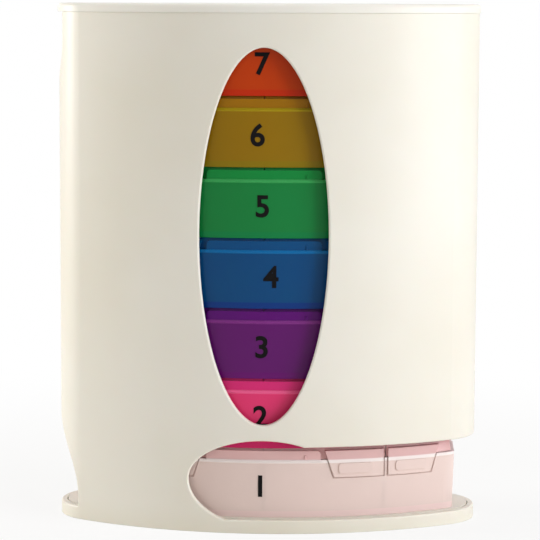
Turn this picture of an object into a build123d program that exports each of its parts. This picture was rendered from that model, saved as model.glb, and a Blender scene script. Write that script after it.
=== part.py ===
from build123d import *

import math
import os

# A weekly pill tower: an oval upright case holds seven day boxes stacked one on another.
# The lowest box leaves through a slot at the right end and the stack above drops down.
# Millimetres. +Z is up, the window faces -Y, and the origin is the bottom centre of the case.

DAYS = ["sun", "sat", "fri", "thu", "wed", "tue", "mon"]  # from the floor upwards

# Oval plan of the case: two wide side arcs that run into two tighter end arcs.
half_length = 73.3
half_depth = 35.0
tip_radius = 19.0
tip_centre = half_length - tip_radius
side_radius = (tip_centre**2 + half_depth**2 - tip_radius**2) / (2 * (half_depth - tip_radius))
side_centre = side_radius - half_depth

# Case
case_height = 177.3
case_wall = 2.0
ledge_width = 3.0
ledge_height = 1.5
sill_height = 4.6
edge_round = 0.6
window_height = 128.2
window_width = 44.0
window_middle = 101.6
slot_top = 29.8
label_half_width = 25.6
label_middle = 18.3
label_rise = 13.8
label_drop = 16.0
back_slot_start = -6.0
back_slot_corner = 9.0
arch_half_width = 14.3
arch_spring = 8.0
arch_top = 37.4
thumb_half_width = 7.9
thumb_spring = 168.0
thumb_bottom = 152.6
guide_rib_thickness = 1.4
guide_rib_offset = 17.0
guide_rib_start = 41.0
guide_rib_end = 173.0
guide_rib_gap = 0.8
guide_rib_bite = 0.2
notch_side_shortening = 15.0  # the ribs on the thumb notch side stop below the notch
arch_tip_rounding = 0.35  # of the half width

# Floor plate
floor_top = 4.8
floor_gap = 0.3
floor_deck = 1.6
floor_skirt = 1.5
floor_rib = 1.4
floor_rib_places = [-55.0, -18.3, 18.3, 55.0]

# Top cover
cover_thickness = 3.0
cover_overhang = 0.4
cover_round = 1.3
lip_gap = 0.2
lip_thickness = 1.2
lip_depth = 2.8

# Day box: a tray with four pill compartments, and four lids hinged along its rear deck
box_pitch = 24.1
box_height = 24.0
box_inset = 4.0
box_end = 66.0
draft = 0.6
tray_wall = 1.6
tray_floor = 1.8
rim_height = 20.0
deck_inset = 0.9
deck_thickness = 1.6
divider_thickness = 1.4
divider_places = [-41.3, 0.0, 41.3]
parapet_half_width = 19.7
parapet_height = 3.2
parapet_front = 0.3
parapet_back = 0.9
parapet_corner = 1.5
parapet_root = 1.0

# Hinges
axis_height = 22.5
inner_axis = 19.6
outer_axis = 8.0
barrel_radius = 1.4
pin_radius = 0.75
pin_clearance = 0.05
pin_length = 1.3
pin_end_gap = 0.25
knuckle_radius = 1.5
knuckle_width = 1.6
knuckle_front = 1.2
knuckle_drop = 1.0
knuckle_bury = 0.6
knuckle_top_gap = 0.1
deck_setback = 1.9

# Lids
lid_split = 42.0
lid_gap = 0.15
lid_plate = 1.2
lid_rise = 0.15
skirt_inset = 1.1
skirt_lean = 0.8
skirt_thickness = 1.1
barrel_relief = 0.4
arm_overlap = 1.0

# Latch tabs on the front of each lid, in a pocket of the tray's wall
tab_bottom = 13.9
tab_top = 23.2
inner_tab_top_start = 21.2
inner_tab_foot_start = 24.4
inner_tab_end = 41.3
outer_tab_start = 42.9
outer_tab_foot_end = 57.6
outer_tab_top_end = 60.4
tab_proud = 0.35
tab_inner = 0.65
pocket_inset = 0.8
pocket_margin = 0.4
pad_proud = 0.75
pad_height = 3.5
pad_lift = 1.4
pad_corner = 0.9
inner_pad = (26.0, 37.4)
outer_pad = (45.6, 56.2)

FAR = 200.0  # longer than the whole tower, for cuts
OVER = 1.0  # how far a cut runs past the face it opens

seam_reach = math.hypot(tip_centre, side_centre)


def oval_face(inset, z=0.0):
    """The case's plan, moved inwards by inset, as a face at height z."""
    tip = tip_radius - inset
    join_x = tip_centre * (1 + tip / seam_reach)
    join_y = side_centre * tip / seam_reach
    long_side = half_depth - inset
    end = half_length - inset
    outline = [
        ThreePointArc((-join_x, -join_y), (0, -long_side), (join_x, -join_y)),
        ThreePointArc((join_x, -join_y), (end, 0), (join_x, join_y)),
        ThreePointArc((join_x, join_y), (0, long_side), (-join_x, join_y)),
        ThreePointArc((-join_x, join_y), (-end, 0), (-join_x, -join_y)),
    ]
    return Pos(0, 0, z) * make_face(outline)


def box_face(inset, z=0.0):
    """A day box's plan: the oval with its two tips cut off square."""
    oval = oval_face(box_inset + inset, z)
    end = box_end - inset
    return oval & (Pos(0, 0, z) * Rectangle(2 * end, FAR))


def prism(face, height):
    return extrude(face, amount=height, dir=(0, 0, 1))


def block(x0, x1, y0, y1, z0, z1):
    middle = Pos((x0 + x1) / 2, (y0 + y1) / 2, (z0 + z1) / 2)
    return middle * Box(x1 - x0, y1 - y0, z1 - z0)


def rod(x0, x1, y, z, radius):
    """A round bar along X."""
    return Pos((x0 + x1) / 2, y, z) * Rot(0, 90, 0) * Cylinder(radius, x1 - x0)


def front_profile(face):
    """A face drawn as X and height, pushed through everything in front of the middle."""
    return extrude(Plane.XZ * face, amount=FAR / 2)


def back_profile(face):
    return extrude(Plane.XZ * face, amount=-FAR / 2)


def pointed_arch(half_width, spring, apex, foot):
    """A pointed arch as width and height: two large arcs that meet at the apex."""
    rise = apex - spring
    radius = (half_width**2 + rise**2) / (2 * half_width)
    half_turn = math.asin(abs(rise) / radius) / 2
    mid_x = half_width - radius + radius * math.cos(half_turn)
    mid_y = spring + math.copysign(radius * math.sin(half_turn), rise)
    outline = [
        Line((-half_width, foot), (half_width, foot)),
        Line((half_width, foot), (half_width, spring)),
        ThreePointArc((half_width, spring), (mid_x, mid_y), (0, apex)),
        ThreePointArc((0, apex), (-mid_x, mid_y), (-half_width, spring)),
        Line((-half_width, spring), (-half_width, foot)),
    ]
    arch = make_face(outline)
    tip = arch.vertices().sort_by_distance((0, apex, 0))[0]
    return fillet(tip, half_width * arch_tip_rounding)


def inset_of(point):
    """How far inside the case's plan a point lies."""
    if abs(point.X) * side_centre > (abs(point.Y) + side_centre) * tip_centre:
        return tip_radius - math.hypot(abs(point.X) - tip_centre, point.Y)
    return side_radius - math.hypot(point.X, abs(point.Y) + side_centre)


def is_cut_edge(edge):
    """True for an edge of an opening that lies on the case's outer face."""
    points = [edge @ t for t in (0.0, 0.25, 0.5, 0.75, 1.0)]
    outside = all(abs(inset_of(p)) < 0.01 for p in points)
    inside_height = all(sill_height - 0.01 < p.Z < case_height - 0.01 for p in points[1:4])
    upright = abs(points[0].X - points[4].X) < 0.001 and abs(points[0].Y - points[4].Y) < 0.001
    seam = upright and abs(abs(points[2].X) - tip_centre * (1 + tip_radius / seam_reach)) < 0.01
    return outside and inside_height and not seam


def label_opening():
    """The opening for the lowest day's name: two half ellipses of unlike height."""
    middle = Pos(0, label_middle)
    upper = (middle * Ellipse(label_half_width, label_rise)) & band(label_middle, FAR)
    lower = (middle * Ellipse(label_half_width, label_drop)) & band(sill_height, label_middle)
    return upper + lower


def band(low, high):
    """A wide strip between two heights, in the plane of the front view."""
    return Pos(0, (low + high) / 2) * Rectangle(FAR, high - low)


def exit_profile():
    """The slot that the lowest box leaves by, seen from the front, with its label opening."""
    slot = band(sill_height, slot_top) & (Pos(FAR / 2, 0) * Rectangle(FAR, FAR))
    return slot + label_opening()


def back_slot_profile():
    start = Pos(back_slot_start + FAR / 2, 0)
    slot = band(sill_height, slot_top) & (start * Rectangle(FAR, FAR))
    corners = slot.vertices().sort_by(Axis.X)[:2]
    return fillet(corners, back_slot_corner)


def guide_ribs():
    """Upright ribs inside the two tips that keep the stack from sliding lengthwise."""
    ribs = []
    for side in (-1, 1):
        for y in (-guide_rib_offset / 2, guide_rib_offset / 2):
            x0, x1 = sorted((side * (box_end + guide_rib_gap), side * half_length))
            ribs.append(
                block(x0, x1, y - guide_rib_thickness / 2, y + guide_rib_thickness / 2,
                      guide_rib_start, guide_rib_end - (notch_side_shortening if side < 0 else 0))
            )
    inside = prism(oval_face(case_wall - guide_rib_bite), case_height)
    return [rib & inside for rib in ribs]


def tower_shell():
    shell = prism(oval_face(0), case_height)
    shell -= prism(oval_face(case_wall, ledge_height), case_height)
    shell -= prism(oval_face(case_wall + ledge_width, -OVER), ledge_height + 2 * OVER)
    window = Pos(0, window_middle) * Ellipse(window_width / 2, window_height / 2)
    shell -= front_profile(window)
    shell -= front_profile(exit_profile())
    shell -= back_profile(back_slot_profile())
    arch = pointed_arch(arch_half_width, arch_spring, arch_top, sill_height)
    thumb = pointed_arch(thumb_half_width, thumb_spring, thumb_bottom, case_height + OVER)
    for cut in (arch, thumb):
        shell -= extrude(Plane.YZ * cut, amount=-FAR / 2)
    shell = fillet(shell.edges().filter_by(is_cut_edge), edge_round)
    for rib in guide_ribs():
        shell += rib
    return shell


def base_plate():
    inset = case_wall + floor_gap
    height = floor_top - ledge_height
    plate = prism(oval_face(inset, ledge_height), height)
    hollow = prism(oval_face(inset + floor_skirt, ledge_height), height - floor_deck)
    for place in floor_rib_places:
        half = floor_rib / 2
        hollow -= block(place - half, place + half, -FAR, FAR, 0, FAR)
    return plate - hollow


def top_cover():
    cap = prism(oval_face(-cover_overhang, case_height), cover_thickness)
    cap = fillet(cap.edges().group_by(Axis.Z)[-1], cover_round)
    lip_start = case_height - lip_depth
    lip = prism(oval_face(case_wall + lip_gap, lip_start), lip_depth)
    lip -= prism(oval_face(case_wall + lip_gap + lip_thickness, lip_start), lip_depth)
    return cap + lip


def tab_outline(points):
    return make_face(Polyline(*points, close=True))


def inner_tab(margin=0.0):
    """The latch tab of a lid beside the middle: its left edge slants in towards the bottom."""
    return tab_outline([
        (inner_tab_top_start - margin, tab_top + margin),
        (inner_tab_foot_start - margin, tab_bottom - margin),
        (inner_tab_end + margin, tab_bottom - margin),
        (inner_tab_end + margin, tab_top + margin),
    ])


def outer_tab(margin=0.0):
    return tab_outline([
        (outer_tab_start - margin, tab_top + margin),
        (outer_tab_start - margin, tab_bottom - margin),
        (outer_tab_foot_end + margin, tab_bottom - margin),
        (outer_tab_top_end + margin, tab_top + margin),
    ])


def tab_pad(x0, x1):
    """The raised finger pad on a latch tab."""
    height = tab_bottom + pad_lift + pad_height / 2
    return Pos((x0 + x1) / 2, height) * RectangleRounded(x1 - x0, pad_height, pad_corner)


def ring(outer_inset, inner_inset, z0, z1):
    """A wall that follows the box's plan, between two insets."""
    return prism(box_face(outer_inset, z0), z1 - z0) - prism(box_face(inner_inset, z0), z1 - z0)


def latch_tab(outline, pad):
    """A tab that hangs over the front wall, joined to the lid's skirt above the rim."""
    hanging = ring(-tab_proud, tab_inner, tab_bottom, rim_height + lid_rise)
    above = ring(-tab_proud, skirt_inset + skirt_lean, rim_height + lid_rise, tab_top)
    raised = ring(-pad_proud, 0.0, tab_bottom, rim_height)
    tab = (hanging + above) & front_profile(outline)
    return tab + (raised & front_profile(pad))


def knuckle(x0, x1, axis_y, hole_from, hole_to):
    """A hinge knuckle of the tray, with a blind hole for a lid's pin."""
    rear = axis_y + deck_setback + knuckle_bury
    body = block(x0, x1, axis_y - knuckle_front, rear, rim_height - knuckle_drop, axis_height)
    body += block(x0, x1, axis_y, rear, axis_height, box_height - knuckle_top_gap)
    body += rod(x0, x1, axis_y, axis_height, knuckle_radius)
    return body, rod(hole_from, hole_to, axis_y, axis_height, pin_radius + pin_clearance)


def right_knuckles():
    """The knuckles of the right half: middle, both sides of the lid split, and the end."""
    hole = pin_length
    split = lid_split
    end = box_end - skirt_inset
    w = knuckle_width
    return [
        knuckle(0, w, inner_axis, w - hole, w),
        knuckle(split - w, split, inner_axis, split - w, split - w + hole),
        knuckle(split, split + w, outer_axis, split + w - hole, split + w),
        knuckle(end - w, end, outer_axis, end - w, end - w + hole),
    ]


def both_halves(part):
    return part + mirror(part, about=Plane.YZ)


def day_tray():
    """One day's tray with its rear deck, dividers, hinge knuckles and tab pockets."""
    body = loft([box_face(draft), box_face(0, rim_height)], ruled=True)
    upper = loft([box_face(0, rim_height), box_face(deck_inset, box_height)], ruled=True)
    hollow = prism(box_face(draft + tray_wall, tray_floor), box_height - deck_thickness - tray_floor)
    for x in divider_places:
        half = divider_thickness / 2
        hollow -= block(x - half, x + half, -FAR, FAR, -FAR, FAR)
    tray = body + upper - hollow
    tray -= block(-lid_split, lid_split, -FAR, inner_axis + deck_setback, rim_height, FAR)
    tray -= block(-FAR, FAR, -FAR, outer_axis + deck_setback, rim_height, FAR)
    pocket = ring(-OVER, pocket_inset, tab_bottom - pocket_margin, rim_height + OVER)
    pockets = pocket & front_profile(inner_tab(pocket_margin))
    pockets += pocket & front_profile(outer_tab(pocket_margin))
    tray -= both_halves(pockets)
    parapet_shape = Pos(0, rim_height + parapet_height / 2 - parapet_root) * RectangleRounded(
        2 * parapet_half_width, parapet_height + 2 * parapet_root, parapet_corner
    )
    parapet = ring(parapet_front, parapet_back, rim_height - parapet_root, rim_height + parapet_height)
    tray += parapet & front_profile(parapet_shape)
    for body_part, hole in right_knuckles():
        tray += both_halves(body_part)
        tray -= both_halves(hole)
    return tray


def lid(x0, x1, axis_y, barrel_start, barrel_end, tab, pad):
    """One lid of the right half: plate, leaning skirt, latch tab, hinge barrel and pins."""
    base = rim_height + lid_rise
    shell = loft(
        [box_face(skirt_inset, base), box_face(skirt_inset + skirt_lean, box_height)], ruled=True
    )
    under = box_height - lid_plate
    inside = skirt_inset + skirt_lean + skirt_thickness
    shell -= prism(box_face(inside, base - OVER), under - base + OVER)
    rear = axis_y - knuckle_radius - barrel_relief
    cover = shell & block(x0, x1, -FAR, rear, base - OVER, FAR)
    arm = block(barrel_start, barrel_end, rear - arm_overlap, axis_y, under, box_height)
    barrel = rod(barrel_start, barrel_end, axis_y, axis_height, barrel_radius)
    pins = rod(barrel_start - pin_length, barrel_end + pin_length, axis_y, axis_height, pin_radius)
    return cover + arm + barrel + pins + latch_tab(tab, pad)


def inner_lid():
    start = knuckle_width + pin_end_gap
    end = lid_split - knuckle_width - pin_end_gap
    return lid(lid_gap, lid_split - lid_gap, inner_axis, start, end,
               inner_tab(), tab_pad(*inner_pad))


def outer_lid():
    start = lid_split + knuckle_width + pin_end_gap
    end = box_end - skirt_inset - knuckle_width - pin_end_gap
    return lid(lid_split + lid_gap, FAR, outer_axis, start, end,
               outer_tab(), tab_pad(*outer_pad))


def write(shape, node):
    export_step(shape, f"parts/{node}.step")


def main():
    os.makedirs("parts", exist_ok=True)
    write(tower_shell(), "tower_shell")
    write(base_plate(), "base_plate")
    write(top_cover(), "top_cover")
    tray = day_tray()
    middle_right = inner_lid()
    end_right = outer_lid()
    lids = {
        "lid_end_left": mirror(end_right, about=Plane.YZ),
        "lid_middle_left": mirror(middle_right, about=Plane.YZ),
        "lid_middle_right": middle_right,
        "lid_end_right": end_right,
    }
    for level, day in enumerate(DAYS):
        place = Pos(0, 0, floor_top + level * box_pitch)
        write(place * tray, f"{day}_tray")
        for name, shape in lids.items():
            write(place * shape, f"{day}_{name}")


main()
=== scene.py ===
import math

import bpy
from mathutils import Matrix, Vector


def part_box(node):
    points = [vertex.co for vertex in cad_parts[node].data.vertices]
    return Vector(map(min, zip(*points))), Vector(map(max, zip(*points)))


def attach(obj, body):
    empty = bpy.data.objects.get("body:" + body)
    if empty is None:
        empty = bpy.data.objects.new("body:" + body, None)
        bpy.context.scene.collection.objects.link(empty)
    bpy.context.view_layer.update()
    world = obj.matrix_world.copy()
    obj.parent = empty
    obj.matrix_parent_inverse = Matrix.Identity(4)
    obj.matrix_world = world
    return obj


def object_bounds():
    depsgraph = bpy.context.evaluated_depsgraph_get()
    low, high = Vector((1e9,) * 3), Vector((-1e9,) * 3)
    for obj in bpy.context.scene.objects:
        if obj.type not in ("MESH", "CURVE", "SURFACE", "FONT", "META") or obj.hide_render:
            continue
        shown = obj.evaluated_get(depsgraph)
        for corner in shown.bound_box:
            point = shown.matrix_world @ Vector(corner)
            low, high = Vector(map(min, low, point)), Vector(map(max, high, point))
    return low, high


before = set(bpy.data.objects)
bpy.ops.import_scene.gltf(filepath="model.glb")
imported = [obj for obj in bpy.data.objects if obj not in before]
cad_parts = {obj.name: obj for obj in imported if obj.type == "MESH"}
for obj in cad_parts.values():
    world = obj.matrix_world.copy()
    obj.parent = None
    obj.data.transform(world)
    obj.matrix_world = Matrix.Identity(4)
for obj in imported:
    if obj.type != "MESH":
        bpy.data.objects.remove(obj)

cadLow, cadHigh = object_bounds()
print("frame loaded:", len(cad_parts), "nodes")

days = ["sun", "sat", "fri", "thu", "wed", "tue", "mon"]  # from the floor upwards
lidNames = ["lid_end_left", "lid_middle_left", "lid_middle_right", "lid_end_right"]
mm = 0.001


def srgb(red, green, blue):
    # a screen colour from 0 to 255, as the linear values a shader takes
    def linear(value):
        part = value / 255
        return part / 12.92 if part <= 0.04045 else ((part + 0.055) / 1.055) ** 2.4
    return (linear(red), linear(green), linear(blue), 1.0)


class Wire:
    # one socket of a node tree, so that sums on it read as plain expressions
    def __init__(self, tree, socket=None):
        self.tree = tree
        self.socket = socket

    def make(self, kind, settings, inputs, output=0):
        made = self.tree.nodes.new(kind)
        for name, value in settings.items():
            setattr(made, name, value)
        for name, value in inputs.items():
            if isinstance(value, Wire):
                self.tree.links.new(value.socket, made.inputs[name])
            else:
                made.inputs[name].default_value = value
        return Wire(self.tree, made.outputs[output] if made.outputs else None)

    def sums(self, operation, first, second=0.0):
        return self.make("ShaderNodeMath", {"operation": operation}, {0: first, 1: second})

    def __add__(self, other):
        return self.sums("ADD", self, other)

    def __sub__(self, other):
        return self.sums("SUBTRACT", self, other)

    def __rsub__(self, other):
        return self.sums("SUBTRACT", other, self)

    def __mul__(self, other):
        return self.sums("MULTIPLY", self, other)

    __radd__ = __add__
    __rmul__ = __mul__

    def root(self):
        return self.sums("SQRT", self)

    def ramp(self, start, end):
        # 0 below start and 1 above end, eased between them
        sockets = {"Value": self, "From Min": start, "From Max": end}
        return self.make("ShaderNodeMapRange", {"interpolation_type": "SMOOTHSTEP"}, sockets)

    def blend(self, first, second):
        # two colours mixed by this value
        settings = {"data_type": "RGBA"}
        return self.make("ShaderNodeMix", settings, {0: self, 6: first, 7: second}, 2)


def newMaterial(name):
    made = bpy.data.materials.new(name)
    made.use_nodes = True
    made.node_tree.nodes.clear()
    return made, Wire(made.node_tree)


def coordinates(pen):
    place = pen.make("ShaderNodeTexCoord", {}, {}, "Object")
    split = pen.make("ShaderNodeSeparateXYZ", {}, {"Vector": place}, "Z")
    return place, split


def noise(pen, place, scale, detail=3.0, rough=0.5):
    sockets = {"Vector": place, "Scale": scale, "Detail": detail, "Roughness": rough}
    return pen.make("ShaderNodeTexNoise", {}, sockets)


def softNormal(pen, height, strength, depth, edge):
    # a fine moulded skin over edges that catch the light
    rounded = pen.make("ShaderNodeBevel", {"samples": 4}, {"Radius": edge})
    sockets = {"Height": height, "Strength": strength, "Distance": depth, "Normal": rounded}
    return pen.make("ShaderNodeBump", {}, sockets)


def surface(pen, sockets):
    shader = pen.make("ShaderNodeBsdfPrincipled", {}, sockets)
    pen.make("ShaderNodeOutputMaterial", {}, {"Surface": shader})


# White mouldings: the case, its floor and its cover
# the darker colour of each moulding comes in through a random drift of tone and, near the table, as
# painted shade
whiteLook = {
    "tower_shell": {"colour": srgb(240, 236, 225), "darkToneAndShade": srgb(231, 225, 208), "edge": 0.35 * mm},
    "base_plate": {"colour": srgb(238, 234, 223), "darkToneAndShade": srgb(227, 221, 205), "edge": 0.25 * mm},
    "top_cover": {"colour": srgb(245, 242, 234), "darkToneAndShade": srgb(236, 231, 218), "edge": 0.3 * mm},
}
whiteSkin = {
    "roughness": 0.36, "roughnessSwing": 0.12, "coat": 0.12, "coatRoughness": 0.2, "ior": 1.5,
    "glow": 0.06, "glowDepth": 2 * mm,
    "grain": 1400.0, "grainDetail": 2.0, "grainStrength": 0.08, "grainDepth": 0.05 * mm,
    "drift": 14.0, "driftStart": 0.35, "driftEnd": 0.7, "driftShare": 0.55,
    "smear": 90.0, "smearDetail": 5.0, "smearRough": 0.65,
    "footShadeHeight": 9 * mm, "footShadeShare": 0.35,
}


def whitePlastic(node, look):
    made, pen = newMaterial("whiteMoulding_" + node)
    skin = whiteSkin
    place, height = coordinates(pen)
    drift = noise(pen, place, skin["drift"])  # slow change of tone over the wall
    grain = noise(pen, place, skin["grain"], skin["grainDetail"])
    handled = noise(pen, place, skin["smear"], skin["smearDetail"], skin["smearRough"])  # faint smears
    footShade = 1 - height.ramp(0.0, skin["footShadeHeight"])  # painted shade: a little darker where it meets the table
    # random tone drift plus painted shade near the table
    toneAndShade = drift.ramp(skin["driftStart"], skin["driftEnd"]) * skin["driftShare"] + footShade * skin["footShadeShare"]
    surface(pen, {
        "Base Color": toneAndShade.blend(look["colour"], look["darkToneAndShade"]),
        "Roughness": skin["roughness"] + handled * skin["roughnessSwing"],
        "Coat Weight": skin["coat"],
        "Coat Roughness": skin["coatRoughness"],
        "IOR": skin["ior"],
        "Subsurface Weight": skin["glow"],
        "Subsurface Scale": skin["glowDepth"],
        "Normal": softNormal(pen, grain, skin["grainStrength"], skin["grainDepth"], look["edge"]),
    })
    return made


def dress(node, material):
    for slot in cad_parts[node].material_slots:
        slot.material = material


for node, look in whiteLook.items():
    dress(node, whitePlastic(node, look))
print("white mouldings done")

# Tinted mouldings: one family of colours for each day box; each rim colour is a painted highlight
dayLook = {
    "mon": {"word": "orange", "face": srgb(201, 64, 0), "lid": srgb(211, 80, 0),
            "rim": srgb(230, 98, 0), "base": srgb(201, 37, 0), "density": 0.93},
    "tue": {"word": "yellow", "face": srgb(153, 114, 0), "lid": srgb(166, 112, 0),
            "rim": srgb(179, 158, 0), "base": srgb(138, 118, 0), "density": 0.93},
    "wed": {"word": "green", "face": srgb(19, 132, 61), "lid": srgb(13, 142, 61),
            "rim": srgb(68, 182, 98), "base": srgb(0, 129, 68), "density": 0.93},
    "thu": {"word": "blue", "face": srgb(0, 75, 128), "lid": srgb(0, 79, 133),
            "rim": srgb(0, 121, 189), "base": srgb(0, 47, 129), "density": 0.93},
    "fri": {"word": "purple", "face": srgb(100, 19, 109), "lid": srgb(93, 1, 117),
            "rim": srgb(145, 56, 148), "base": srgb(105, 0, 109), "density": 0.93},
    "sat": {"word": "pink", "face": srgb(242, 62, 122), "lid": srgb(228, 47, 125),
            "rim": srgb(255, 113, 167), "base": srgb(206, 19, 98), "density": 0.93},
    "sun": {"word": "clear", "face": srgb(255, 233, 225), "lid": srgb(246, 202, 200),
            "rim": srgb(254, 248, 246), "base": srgb(240, 212, 209), "density": 0.74},
}
tintSkin = {
    "roughness": 0.26, "roughnessSwing": 0.14, "coat": 0.05, "coatRoughness": 0.08,
    "specular": 0.22, "ior": 1.49, "edge": 0.25 * mm,
    "grain": 900.0, "grainDetail": 2.0, "grainStrength": 0.06, "grainDepth": 0.04 * mm,
    "swirl": 60.0, "swirlDetail": 4.0, "swirlRough": 0.6,
    "flowStart": 0.3, "flowEnd": 0.75, "flowShare": 0.16,
    # the fades of the rim's painted highlight and the start of the upper tone are counted in widths of its
    # line
    "rimHeight": 20 * mm, "rimLine": 0.9 * mm, "rimHighlightShare": 0.75,
    "highlightFadeIn": 1.4, "rimFadeOut": 0.3, "upperStart": 0.5,
    "floorBand": 1.9 * mm, "floorFade": 1.25, "floorShare": 0.8, "denserShare": 0.6,
}


def tintedPlastic(name, look, bottom):
    # the lid tone shows above the rim; the wall and the hanging tabs keep the face colour; a bright band
    # just under the rim is a painted highlight
    made, pen = newMaterial(name)
    skin = tintSkin
    place, height = coordinates(pen)
    above = height - bottom
    rim = skin["rimHeight"]
    line = skin["rimLine"]
    bandEnd = skin["floorBand"]
    rimEnd = rim + line * skin["rimFadeOut"]
    # painted highlight: a bright band where the tray's top edge glints
    rimHighlightMask = above.ramp(rim - line * skin["highlightFadeIn"], rim - line) * (1 - above.ramp(rim, rimEnd))
    floorMask = 1 - above.ramp(bandEnd, bandEnd * skin["floorFade"])
    # uneven tint where the plastic flowed
    swirl = noise(pen, place, skin["swirl"], skin["swirlDetail"], skin["swirlRough"])
    grain = noise(pen, place, skin["grain"], skin["grainDetail"])
    upper = above.ramp(rim - line * skin["upperStart"], rimEnd)
    plain = upper.blend(look["face"], look["lid"])
    flowed = swirl.ramp(skin["flowStart"], skin["flowEnd"]) * skin["flowShare"]
    body = flowed.blend(plain, look["base"])
    banded = (floorMask * skin["floorShare"]).blend(body, look["base"])
    # the painted rim highlight goes over the colour here
    highlighted = (rimHighlightMask * skin["rimHighlightShare"]).blend(banded, look["rim"])
    clearness = 1 - look["density"]
    surface(pen, {
        "Base Color": highlighted,
        "Roughness": skin["roughness"] + swirl * skin["roughnessSwing"],
        "Coat Weight": skin["coat"],
        "Coat Roughness": skin["coatRoughness"],
        "IOR": skin["ior"],
        "Specular IOR Level": skin["specular"],
        "Alpha": look["density"] + (rimHighlightMask + floorMask) * (clearness * skin["denserShare"]),
        "Normal": softNormal(pen, grain, skin["grainStrength"], skin["grainDepth"], skin["edge"]),
    })
    return made


trayPaint = {}
for day in days:
    look = dayLook[day]
    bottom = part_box(day + "_tray")[0].z
    trayPaint[day] = tintedPlastic("tinted_" + look["word"] + "_tray", look, bottom)
    lidPaint = tintedPlastic("tinted_" + look["word"] + "_lid", look, bottom)
    dress(day + "_tray", trayPaint[day])
    for lidName in lidNames:
        dress(day + "_" + lidName, lidPaint)
print("tinted mouldings done")

# The plan of the tray fronts, in metres: one wide arc, leaning by the draft
plan = {"halfDepth": 35 * mm, "halfLength": 73.3 * mm, "tipRadius": 19 * mm,
        "boxInset": 4 * mm, "draft": 0.6 * mm, "rimHeight": 20 * mm}
tipCentre = plan["halfLength"] - plan["tipRadius"]
sideRadius = (tipCentre**2 + plan["halfDepth"]**2 - plan["tipRadius"]**2) / (
    2 * (plan["halfDepth"] - plan["tipRadius"]))
sideCentre = sideRadius - plan["halfDepth"]


def trayFront(x, above):
    # how far forward the tray's front wall lies at a height above its bottom
    lean = plan["draft"] * (1 - min(above / plan["rimHeight"], 1.0))
    reach = sideRadius - plan["boxInset"] - lean
    return sideCentre - math.sqrt(reach**2 - x**2)


# Rim bead: a thin moulded line that follows the front wall just under the lids
beadLook = {"radius": 0.32 * mm, "halfLength": 20.2 * mm, "below": 0.6 * mm, "sink": 0.12 * mm,
            "steps": 48, "sides": 12}


def beadTree():
    tree = bpy.data.node_groups.new("rimBead", "GeometryNodeTree")
    for name in ("Bead Radius", "Half Length", "Arc Radius", "Arc Centre", "Height"):
        tree.interface.new_socket(name, in_out="INPUT", socket_type="NodeSocketFloat")
    tree.interface.new_socket("Material", in_out="INPUT", socket_type="NodeSocketMaterial")
    tree.interface.new_socket("Geometry", in_out="OUTPUT", socket_type="NodeSocketGeometry")
    pen = Wire(tree)
    entry = tree.nodes.new("NodeGroupInput")
    given = {socket.name: Wire(tree, socket) for socket in entry.outputs if socket.name}
    half = given["Half Length"]
    start = pen.make("ShaderNodeCombineXYZ", {}, {"X": 0 - half})
    end = pen.make("ShaderNodeCombineXYZ", {}, {"X": half})
    line = pen.make("GeometryNodeCurvePrimitiveLine", {}, {"Start": start, "End": end})
    path = pen.make("GeometryNodeResampleCurve", {}, {"Curve": line, "Count": beadLook["steps"]})
    spot = pen.make("GeometryNodeInputPosition", {}, {})
    across = pen.make("ShaderNodeSeparateXYZ", {}, {"Vector": spot}, "X")
    reach = given["Arc Radius"]
    front = given["Arc Centre"] - (reach * reach - across * across).root()
    bent = pen.make("ShaderNodeCombineXYZ", {}, {"X": across, "Y": front, "Z": given["Height"]})
    curved = pen.make("GeometryNodeSetPosition", {}, {"Geometry": path, "Position": bent})
    sockets = {"Resolution": beadLook["sides"], "Radius": given["Bead Radius"]}
    ring = pen.make("GeometryNodeCurvePrimitiveCircle", {}, sockets)
    sockets = {"Curve": curved, "Profile Curve": ring, "Fill Caps": True}
    tube = pen.make("GeometryNodeCurveToMesh", {}, sockets)
    whole = pen.make("GeometryNodeRealizeInstances", {}, {"Geometry": tube})
    painted = pen.make("GeometryNodeSetMaterial", {}, {"Geometry": whole, "Material": given["Material"]})
    pen.make("NodeGroupOutput", {}, {"Geometry": painted})
    return tree


def plainPiece(name, mesh):
    piece = bpy.data.objects.new(name, mesh)
    bpy.context.collection.objects.link(piece)
    return piece


def fromTree(name, tree, values):
    # the tree's result as a plain mesh at the origin
    maker = plainPiece("maker", bpy.data.meshes.new("maker"))
    modifier = maker.modifiers.new("tree", "NODES")
    modifier.node_group = tree
    for socket in tree.interface.items_tree:
        if socket.name in values:
            modifier[socket.identifier] = values[socket.name]
    bpy.context.view_layer.update()
    evaluated = maker.evaluated_get(bpy.context.evaluated_depsgraph_get())
    mesh = bpy.data.meshes.new_from_object(evaluated)
    bpy.data.objects.remove(maker)
    mesh.name = name
    return plainPiece(name, mesh)


def addBead(day, tree):
    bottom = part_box(day + "_tray")[0].z
    bead = fromTree("rimBead_" + day, tree, {
        "Bead Radius": beadLook["radius"],
        "Half Length": beadLook["halfLength"],
        "Arc Radius": sideRadius - plan["boxInset"] - beadLook["sink"],
        "Arc Centre": sideCentre,
        # the bead sits inside the tray paint's painted rim highlight, so it shows that colour
        "Height": bottom + plan["rimHeight"] - beadLook["below"],
        "Material": trayPaint[day],
    })
    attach(bead, day + "_box")
    "tray_" + dayLook[day]["word"]


tree = beadTree()
for day in days:
    addBead(day, tree)
print("rim beads done")

# A small upright moulding mark beside the middle of each front
markLook = {"x": 14.5 * mm, "width": 0.7 * mm, "height": 1.5 * mm, "above": 0.2 * mm,
            "setBack": 0.3 * mm, "proud": 0.3 * mm, "sink": 0.2 * mm, "trim": 0.12 * mm}


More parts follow.
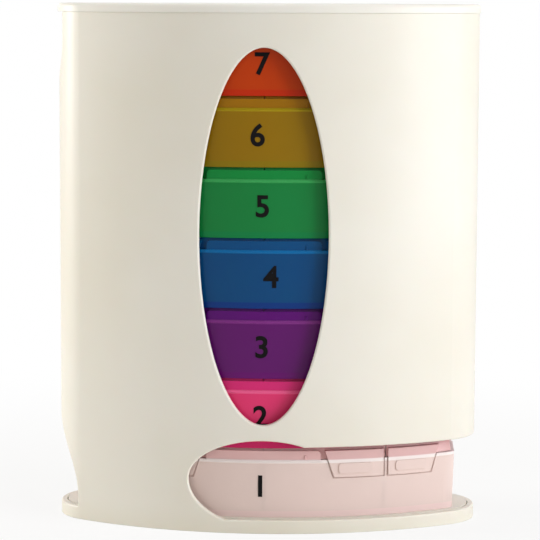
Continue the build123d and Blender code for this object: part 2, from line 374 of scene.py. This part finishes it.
def addMark(day):
    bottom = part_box(day + "_tray")[0].z
    low = plan["rimHeight"] + markLook["above"]
    corners = []
    for depth in (-markLook["proud"], markLook["sink"]):
        trim = markLook["trim"] if depth < 0 else 0.0  # the front face is a little smaller
        for side, top in ((-1, 0), (1, 0), (1, 1), (-1, 1)):
            x = markLook["x"] + side * (markLook["width"] / 2 - trim)
            above = low + top * markLook["height"] + (trim if top == 0 else -trim)
            corners.append((x, trayFront(x, above) + markLook["setBack"] + depth, bottom + above))
    faces = [(0, 1, 2, 3), (7, 6, 5, 4), (0, 4, 5, 1), (1, 5, 6, 2), (2, 6, 7, 3), (3, 7, 4, 0)]
    mesh = bpy.data.meshes.new("mouldMark_" + day)
    mesh.from_pydata(corners, [], faces)
    mesh.materials.append(trayPaint[day])
    mark = plainPiece("mouldMark_" + day, mesh)
    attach(mark, day + "_box")
    "tray_" + dayLook[day]["word"]


for day in days:
    addMark(day)
print("moulding marks done")

# Plain numerals on the tray fronts, counted from the box that leaves first
numeralLook = {"size": 10.4 * mm, "thickness": 0.3 * mm, "weight": 0.22 * mm, "proud": 0.1 * mm,
               "sink": 0.2 * mm, "bottom": 7.4 * mm}
# how far each numeral stands to the right of the middle, in millimetres
numeralPlace = {"sun": -1.0, "sat": -1.0, "fri": -0.6, "thu": 2.5, "wed": -0.5, "tue": -2.3, "mon": -1.0}
inkLook = {"colour": srgb(12, 10, 11), "worn": srgb(28, 24, 26), "wornStart": 0.55, "wornEnd": 0.8,
           "roughness": 0.5, "roughnessSwing": 0.2, "specular": 0.12,
           "speck": 700.0, "speckDetail": 4.0, "speckRough": 0.7,
           "speckStrength": 0.1, "speckDepth": 0.02 * mm}


def inkPaint():
    made, pen = newMaterial("printedInk")
    place = pen.make("ShaderNodeTexCoord", {}, {}, "Object")
    speck = noise(pen, place, inkLook["speck"], inkLook["speckDetail"], inkLook["speckRough"])
    wear = speck.ramp(inkLook["wornStart"], inkLook["wornEnd"])
    sockets = {"Height": speck, "Strength": inkLook["speckStrength"], "Distance": inkLook["speckDepth"]}
    surface(pen, {
        "Base Color": wear.blend(inkLook["colour"], inkLook["worn"]),
        "Roughness": inkLook["roughness"] + speck * inkLook["roughnessSwing"],
        "Specular IOR Level": inkLook["specular"],
        "Normal": pen.make("ShaderNodeBump", {}, sockets),
    })
    return made


def addNumeral(day, figure, ink):
    words = bpy.data.curves.new("numeral", "FONT")
    words.body = str(figure)
    words.size = numeralLook["size"]
    words.offset = numeralLook["weight"]
    words.extrude = numeralLook["thickness"] / 2
    words.align_x = "CENTER"
    maker = bpy.data.objects.new("maker", words)
    bpy.context.collection.objects.link(maker)
    bpy.context.view_layer.update()
    evaluated = maker.evaluated_get(bpy.context.evaluated_depsgraph_get())
    mesh = bpy.data.meshes.new_from_object(evaluated)
    bpy.data.objects.remove(maker)
    mesh.name = "numeral_" + day
    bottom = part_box(day + "_tray")[0].z
    centre = numeralPlace[day] * mm
    for vertex in mesh.vertices:
        x = vertex.co.x + centre
        above = vertex.co.y + numeralLook["bottom"]
        depth = -numeralLook["proud"] if vertex.co.z > 0 else numeralLook["sink"]
        vertex.co = Vector((x, trayFront(x, above) + depth, bottom + above))
    mesh.materials.clear()
    mesh.materials.append(ink)
    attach(plainPiece("numeral_" + day, mesh), day + "_box")


ink = inkPaint()
for count, day in enumerate(days):
    addNumeral(day, count + 1, ink)
print("numerals done")

# Studio: pale floor, soft light, white surround
studio = {"floorHalf": 6.0, "floorColour": srgb(244, 243, 240), "floorGlow": 0.82,
          "shadowReach": 0.1, "shadowEnd": 0.34,
          "ambient": 0.31, "ambientColour": (1.0, 0.97, 0.91, 1.0), "surround": (1.0, 1.0, 1.0, 1.0)}
lamps = {
    "key": {"place": (1.2, -0.6, 0.42), "size": 0.8, "power": 13.1, "colour": (0.98, 1.0, 1.05)},
    "side": {"place": (-1.2, 0.12, 0.35), "size": 0.5, "power": 10.0, "colour": (1.0, 0.98, 0.95)},
    "top": {"place": (0.1, 0.1, 1.3), "size": 1.0, "power": 4.2, "colour": (1.0, 1.0, 1.0)},
}


def addFloor():
    half = studio["floorHalf"]
    mesh = bpy.data.meshes.new("floor")
    corners = [(-half, -half, 0), (half, -half, 0), (half, half, 0), (-half, half, 0)]
    mesh.from_pydata(corners, [], [(0, 1, 2, 3)])
    made, pen = newMaterial("paleFloor")
    seen = pen.make("ShaderNodeLightPath", {}, {}, "Is Camera Ray")
    place = pen.make("ShaderNodeTexCoord", {}, {}, "Object")
    away = pen.make("ShaderNodeVectorMath", {"operation": "LENGTH"}, {0: place}, "Value")
    far = away.ramp(studio["shadowReach"], studio["shadowEnd"])  # plain white beyond the shadow
    white = far * (1 - studio["floorGlow"]) + studio["floorGlow"]
    matt = pen.make("ShaderNodeBsdfDiffuse", {}, {"Color": studio["floorColour"]})
    glow = pen.make("ShaderNodeEmission", {}, {"Color": studio["surround"], "Strength": 1.0})
    both = pen.make("ShaderNodeMixShader", {}, {0: seen * white, 1: matt, 2: glow})
    pen.make("ShaderNodeOutputMaterial", {}, {"Surface": both})
    mesh.materials.append(made)
    plainPiece("floor", mesh)


def addLamp(name, look):
    data = bpy.data.lights.new(name, "AREA")
    data.size = look["size"]
    data.energy = look["power"]
    data.color = look["colour"]
    lamp = bpy.data.objects.new(name, data)
    lamp.location = look["place"]
    aim = (cadLow + cadHigh) / 2 - lamp.location
    lamp.rotation_euler = aim.to_track_quat("-Z", "Y").to_euler()
    bpy.context.collection.objects.link(lamp)


def lightWorld():
    world = bpy.data.worlds.new("surround")
    world.use_nodes = True
    world.node_tree.nodes.clear()
    bpy.context.scene.world = world
    pen = Wire(world.node_tree)
    camera = pen.make("ShaderNodeLightPath", {}, {}, "Is Camera Ray")
    glossy = pen.make("ShaderNodeLightPath", {}, {}, "Is Glossy Ray")
    through = pen.make("ShaderNodeLightPath", {}, {}, "Is Transmission Ray")
    shown = (camera + glossy + through).ramp(0.0, 0.5)
    sockets = {"Color": studio["ambientColour"], "Strength": studio["ambient"]}
    light = pen.make("ShaderNodeBackground", {}, sockets)
    white = pen.make("ShaderNodeBackground", {}, {"Color": studio["surround"], "Strength": 1.0})
    both = pen.make("ShaderNodeMixShader", {}, {0: shown, 1: light, 2: white})
    pen.make("ShaderNodeOutputWorld", {}, {"Surface": both})


addFloor()
for name, look in lamps.items():
    addLamp(name, look)
lightWorld()
bpy.context.scene.view_settings.view_transform = "Standard"
print("studio done")

# Camera, as found by matching the tower's outline to the photograph
cameraLook = {"place": (37.16 * mm, -833.8 * mm, 183.8 * mm), "yaw": -0.04364, "pitch": -0.11559,
              "roll": 0.00416, "focalPixels": 2382.7, "framePixels": 540, "sensor": 36.0}


def addCamera():
    yaw, pitch, roll = cameraLook["yaw"], cameraLook["pitch"], cameraLook["roll"]
    ahead = Vector((math.sin(yaw) * math.cos(pitch), math.cos(yaw) * math.cos(pitch), math.sin(pitch)))
    level = Vector((math.cos(yaw), -math.sin(yaw), 0))
    upright = level.cross(ahead)
    right = level * math.cos(roll) + upright * math.sin(roll)
    up = upright * math.cos(roll) - level * math.sin(roll)
    data = bpy.data.cameras.new("camera")
    data.sensor_width = cameraLook["sensor"]
    data.lens = cameraLook["focalPixels"] / cameraLook["framePixels"] * cameraLook["sensor"]
    camera = bpy.data.objects.new("camera", data)
    bpy.context.collection.objects.link(camera)
    turn = Matrix((right, up, -ahead)).transposed().to_4x4()
    camera.matrix_world = Matrix.Translation(Vector(cameraLook["place"])) @ turn
    bpy.context.scene.camera = camera


addCamera()
print("camera done")
